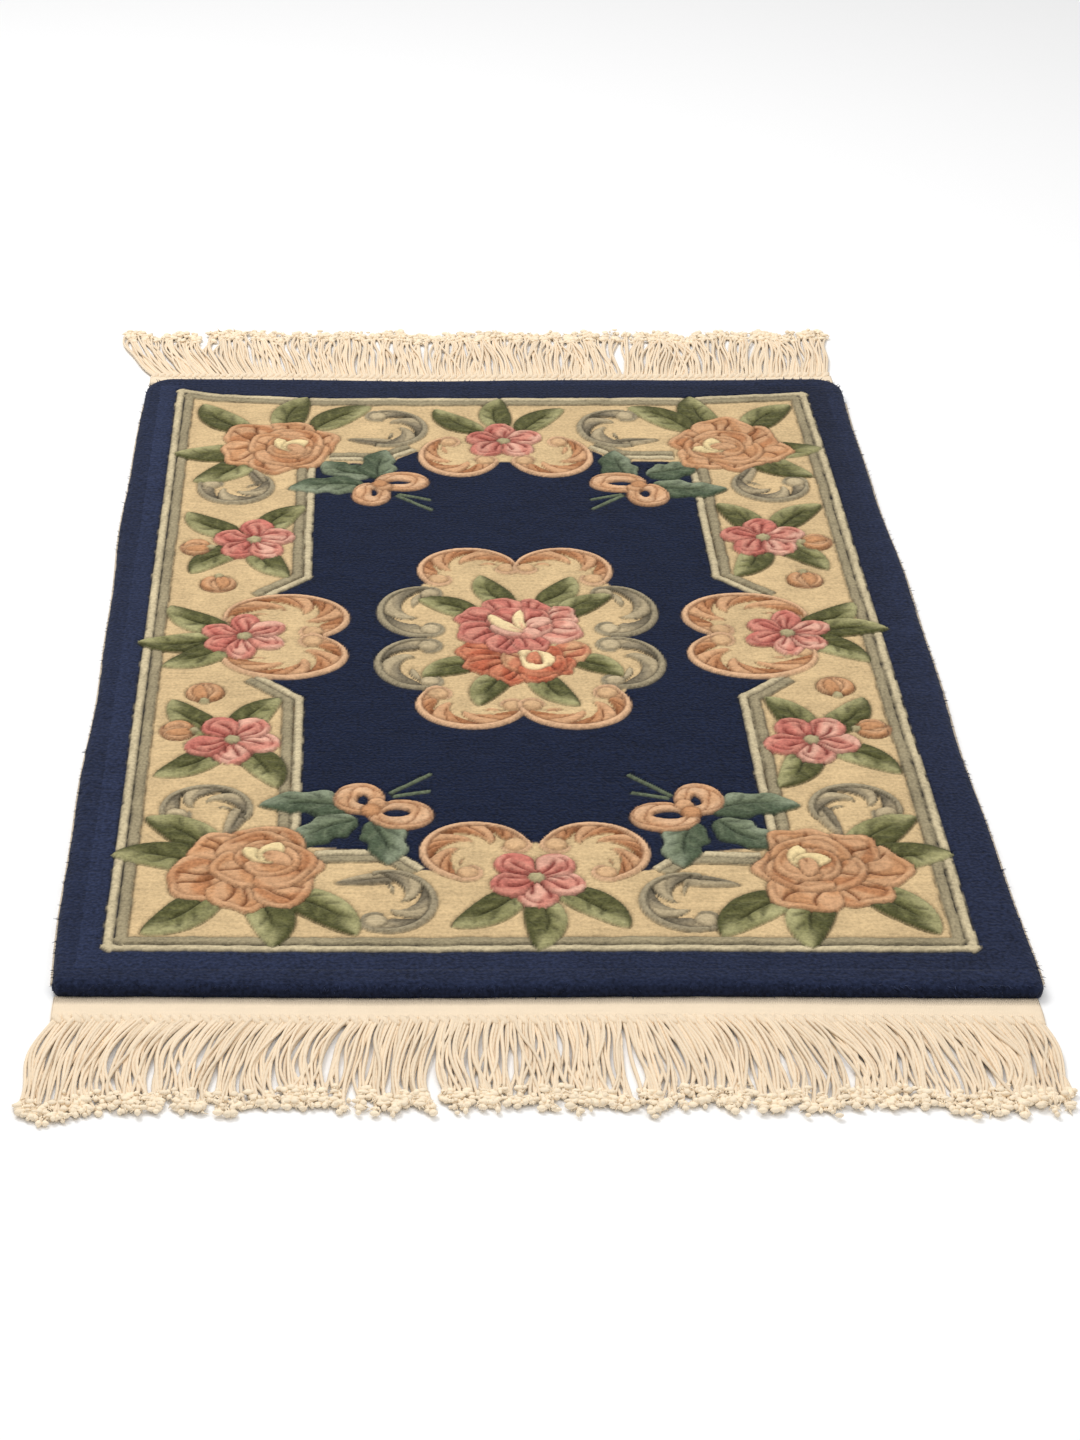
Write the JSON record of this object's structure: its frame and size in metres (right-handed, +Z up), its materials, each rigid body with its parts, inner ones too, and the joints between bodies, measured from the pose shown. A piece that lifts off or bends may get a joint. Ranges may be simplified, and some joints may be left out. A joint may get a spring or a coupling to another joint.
{
  "type": "chinese rug",
  "caption": "Small flat wool rug with a carved flower and scroll pattern, cream cotton end bands with long fringe, and cotton side selvedges.",
  "frame": {"origin": "on the floor under the middle of the rug, which is the bottom centre of its box", "axes": "+X across the width, +Y along the length to the far end, +Z up from the floor"},
  "size_m": [0.6364, 1.1401, 0.0136],
  "materials": {
    "wool_pile": "dense soft cut wool pile, navy ground with cream, rose, peach and green",
    "cotton_fringe": "matt undyed twisted cotton",
    "cotton_selvedge": "matt undyed cotton overcasting"
  },
  "bodies": {
    "root": {"rug_pile": "wool_pile", "fringe_near": "cotton_fringe", "fringe_far": "cotton_fringe", "selvedge_left": "cotton_selvedge", "selvedge_right": "cotton_selvedge"}
  },
  "joints": []
}
